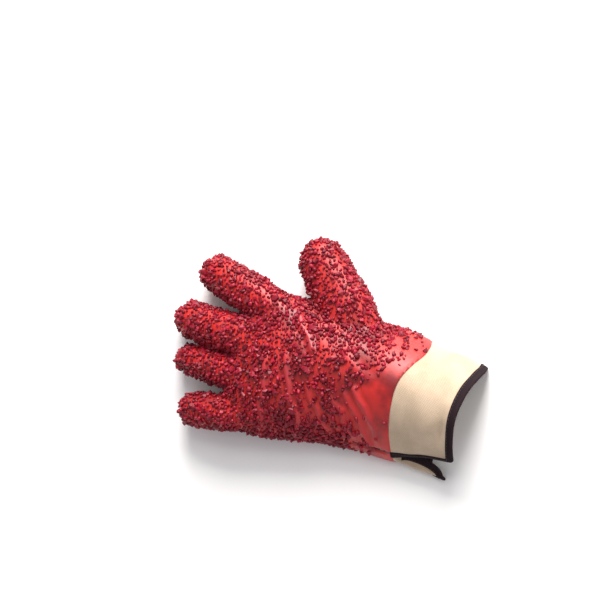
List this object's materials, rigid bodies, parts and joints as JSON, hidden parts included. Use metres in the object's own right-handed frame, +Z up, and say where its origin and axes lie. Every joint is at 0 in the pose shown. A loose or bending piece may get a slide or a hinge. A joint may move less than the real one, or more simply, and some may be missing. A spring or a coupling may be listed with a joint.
{
  "type": "work glove",
  "caption": "Left-hand work glove lying palm down: rough rubber coating with a crumb grip over the hand, and a split canvas safety cuff with a bound edge.",
  "frame": {"origin": "under the middle of the glove's bounding box, on the surface that it lies on", "axes": "+X from the fingertips towards the cuff's opening, +Y towards the thumb, +Z up from the palm to the back of the hand"},
  "size_m": [0.2912, 0.1854, 0.0496],
  "materials": {
    "rubber_coating": "semi-gloss, with a rough crumb",
    "canvas": "matt woven cotton",
    "binding_tape": "matt woven tape"
  },
  "bodies": {
    "root": {"coated_hand": "rubber_coating", "cuff": "canvas", "cuff_binding": "binding_tape"}
  },
  "joints": []
}
